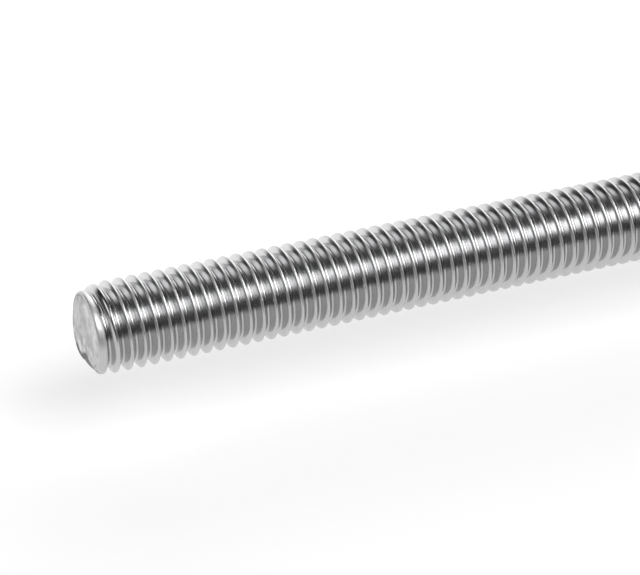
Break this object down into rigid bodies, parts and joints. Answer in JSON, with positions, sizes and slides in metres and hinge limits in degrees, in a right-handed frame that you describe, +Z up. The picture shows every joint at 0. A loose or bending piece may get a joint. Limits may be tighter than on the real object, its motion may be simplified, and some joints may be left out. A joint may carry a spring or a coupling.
{
  "type": "threaded rod",
  "caption": "Straight stainless rod with a coarse metric thread along its whole length and plain cut ends with a short lead-in.",
  "frame": {"origin": "on the rod's axis, half way between its two end faces", "axes": "+X along the rod's axis, +Z up with the rod lying level"},
  "size_m": [0.2, 0.01, 0.01],
  "materials": {
    "steel": "bright rolled stainless thread, matt cut ends"
  },
  "bodies": {
    "root": {"threaded_rod": "steel"}
  },
  "joints": []
}
